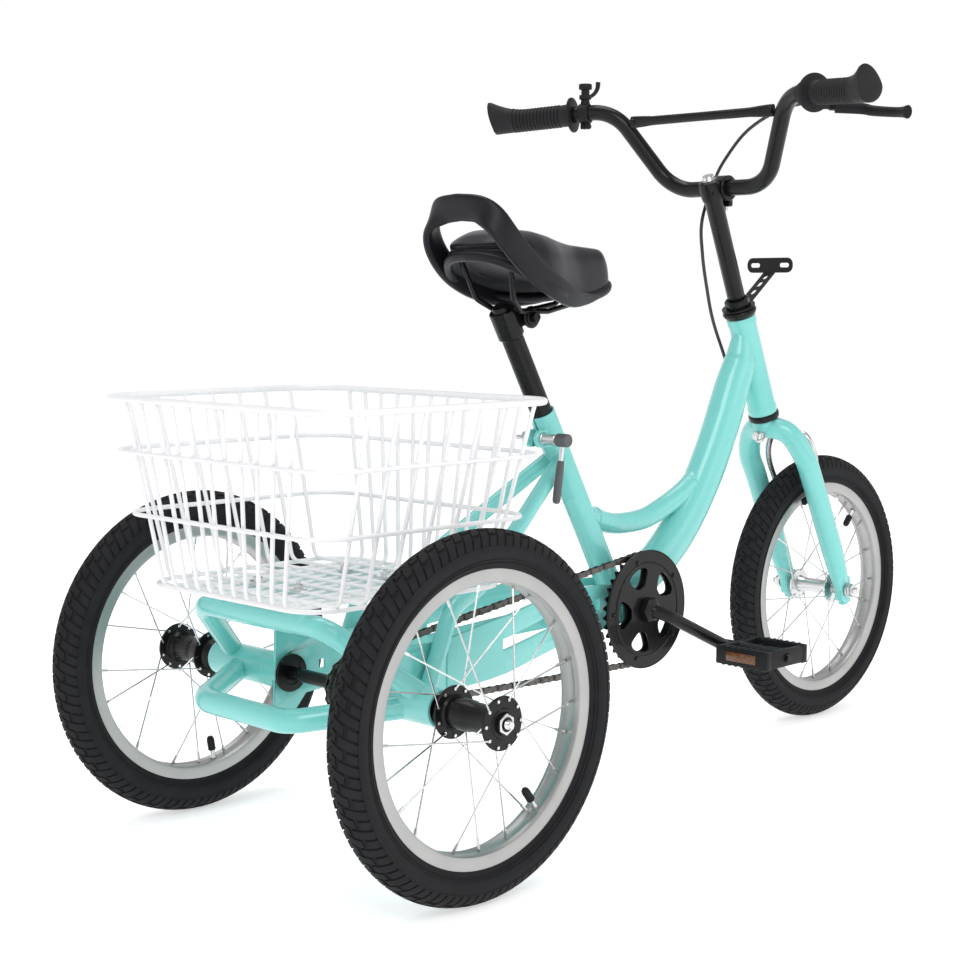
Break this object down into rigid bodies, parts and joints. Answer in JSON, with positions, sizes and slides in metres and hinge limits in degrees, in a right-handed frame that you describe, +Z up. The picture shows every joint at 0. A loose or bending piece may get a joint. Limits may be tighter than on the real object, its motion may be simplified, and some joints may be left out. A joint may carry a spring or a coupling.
{
  "type": "tricycle",
  "caption": "Small cargo tricycle with a step-through frame, two rear wheels under a wire basket, and a padded saddle with a backrest hoop.",
  "frame": {"origin": "ground level, half way between the rearmost and foremost points of the tyres, on the centre plane", "axes": "+X forward, +Y to the rider's left, +Z up"},
  "size_m": [1.375, 0.6632, 0.947],
  "materials": {
    "mint_paint": "gloss paint",
    "black_paint": "gloss paint",
    "tyre_rubber": "block tread",
    "rim_silver": "brushed",
    "chrome": "polished",
    "white_coating": "dipped coating on wire",
    "black_plastic": "matte",
    "grey_plastic": "matte",
    "saddle_skin": "padded, matte",
    "chain_steel": "oiled"
  },
  "bodies": {
    "frame": {"head_tube": "mint_paint", "down_tube": "mint_paint", "step_tube": "mint_paint", "seat_tube": "mint_paint", "bottom_bracket": "mint_paint", "chainstay_right": "mint_paint", "chainstay_left": "mint_paint", "seat_stay_right": "mint_paint", "seat_stay_left": "mint_paint", "rack_hoop": "mint_paint", "bumper_hoop": "mint_paint", "rack_platform": "mint_paint", "axle_housing_left": "mint_paint", "axle_housing_right": "mint_paint", "side_plate_left": "mint_paint", "side_plate_right": "mint_paint", "axle_bearing_left": "black_paint", "axle_bearing_right": "black_paint", "headset_lower_cup": "black_paint", "headset_upper_cup": "black_paint", "seat_skewer": "chrome", "basket": "white_coating", "chain": "chain_steel"},
    "rear_axle": {"rear_axle": "black_paint", "hub_rear_right": "black_paint", "rim_rear_right": "rim_silver", "tyre_rear_right": "tyre_rubber"},
    "sprocket": {"rear_sprocket": "chain_steel"},
    "left_wheel": {"hub_rear_left": "black_paint", "rim_rear_left": "rim_silver", "tyre_rear_left": "tyre_rubber"},
    "steering": {"fork": "mint_paint", "headset_locknut": "black_paint", "reflector_bracket": "black_paint", "front_axle": "chrome", "brake_cable": "black_plastic"},
    "front_wheel": {"hub_front": "chrome", "rim_front": "rim_silver", "tyre_front": "tyre_rubber"},
    "brake_arm_left": {"brake_arm_left": "chrome"},
    "brake_arm_right": {"brake_arm_right": "chrome"},
    "stem": {"stem": "black_paint"},
    "bars": {"handlebar": "black_paint", "crossbar": "black_paint", "grip_left": "black_plastic", "grip_right": "black_plastic", "brake_perch": "black_paint", "bell_mount": "black_plastic"},
    "brake_lever": {"brake_lever": "black_plastic"},
    "bell_lever": {"bell_lever": "black_plastic"},
    "crank": {"one_piece_crank": "black_paint", "chainring": "black_paint"},
    "pedal_right": {"pedal_right": "black_plastic"},
    "pedal_left": {"pedal_left": "black_plastic"},
    "seat_post": {"seat_post": "black_paint", "saddle_clamp": "black_paint"},
    "saddle": {"saddle_rails": "black_paint", "saddle": "saddle_skin", "backrest": "black_plastic"},
    "quick_release": {"seat_lever": "grey_plastic"}
  },
  "joints": [
    {"name": "steering_turn", "type": "hinge", "parent": "frame", "child": "steering", "pos_m": [0.2875, 0, 0.612], "axis": [-0.3827, 0, 0.9239], "range_deg": [-60, 60]},
    {"name": "front_wheel_spin", "type": "hinge", "parent": "steering", "child": "front_wheel", "pos_m": [0.4875, 0, 0.2], "axis": [0, 1, 0], "continuous": true},
    {"name": "left_wheel_spin", "type": "hinge", "parent": "frame", "child": "left_wheel", "pos_m": [-0.4875, 0.25, 0.2], "axis": [0, 1, 0], "continuous": true},
    {"name": "rear_axle_spin", "type": "hinge", "parent": "frame", "child": "rear_axle", "pos_m": [-0.4875, 0, 0.2], "axis": [0, 1, 0], "continuous": true},
    {"name": "crank_spin", "type": "hinge", "parent": "frame", "child": "crank", "pos_m": [0.0195, 0, 0.228], "axis": [0, 1, 0], "continuous": true},
    {"name": "sprocket_spin", "type": "hinge", "parent": "frame", "child": "sprocket", "pos_m": [-0.4875, -0.04, 0.2], "axis": [0, 1, 0], "continuous": true},
    {"name": "pedal_right_spin", "type": "hinge", "parent": "crank", "child": "pedal_right", "pos_m": [0.14446, -0.152, 0.16488], "axis": [0, 1, 0], "continuous": true},
    {"name": "pedal_left_spin", "type": "hinge", "parent": "crank", "child": "pedal_left", "pos_m": [-0.10546, 0.152, 0.29112], "axis": [0, 1, 0], "continuous": true},
    {"name": "brake_lever_pull", "type": "hinge", "parent": "bars", "child": "brake_lever", "pos_m": [0.1965, -0.214, 0.884], "axis": [0, 0, -1], "range_deg": [0, 22], "stiffness_Nm_per_rad": 0.6, "springref_deg": -11.46},
    {"name": "brake_arm_left_turn", "type": "hinge", "parent": "steering", "child": "brake_arm_left", "pos_m": [0.4105, 0, 0.44], "axis": [1, 0, 0], "range_deg": [-2.5, 0.5]},
    {"name": "brake_arm_right_turn", "type": "hinge", "parent": "steering", "child": "brake_arm_right", "pos_m": [0.4105, 0, 0.44], "axis": [1, 0, 0], "range_deg": [-0.5, 2.5]},
    {"name": "stem_height", "type": "slide", "parent": "steering", "child": "stem", "axis": [-0.3827, 0, 0.9239], "range_m": [-0.025, 0.035], "deforming": ["brake_cable"]},
    {"name": "bar_tilt", "type": "hinge", "parent": "stem", "child": "bars", "pos_m": [0.2335, 0, 0.79], "axis": [0, 1, 0], "range_deg": [-15, 15]},
    {"name": "bell_ring", "type": "hinge", "parent": "bars", "child": "bell_lever", "pos_m": [0.16418, 0.19042, 0.924], "axis": [0, 0, 1], "range_deg": [0, 30], "stiffness_Nm_per_rad": 0.02, "springref_deg": -11.46},
    {"name": "seat_height", "type": "slide", "parent": "frame", "child": "seat_post", "axis": [-0.4924, 0, 0.8704], "range_m": [-0.05, 0.06]},
    {"name": "saddle_tilt", "type": "hinge", "parent": "seat_post", "child": "saddle", "pos_m": [-0.1655, 0, 0.614], "axis": [0, 1, 0], "range_deg": [-10, 10]},
    {"name": "seat_clamp_lever", "type": "hinge", "parent": "frame", "child": "quick_release", "pos_m": [-0.13568, -0.046, 0.46011], "axis": [0, -1, 0], "range_deg": [0, 120]}
  ],
  "couplings": [
    {"joint": "sprocket_spin", "follows": "crank_spin", "ratio": 2.25},
    {"joint": "brake_arm_left_turn", "follows": "brake_lever_pull", "ratio": -0.0818},
    {"joint": "brake_arm_right_turn", "follows": "brake_lever_pull", "ratio": 0.0818}
  ]
}
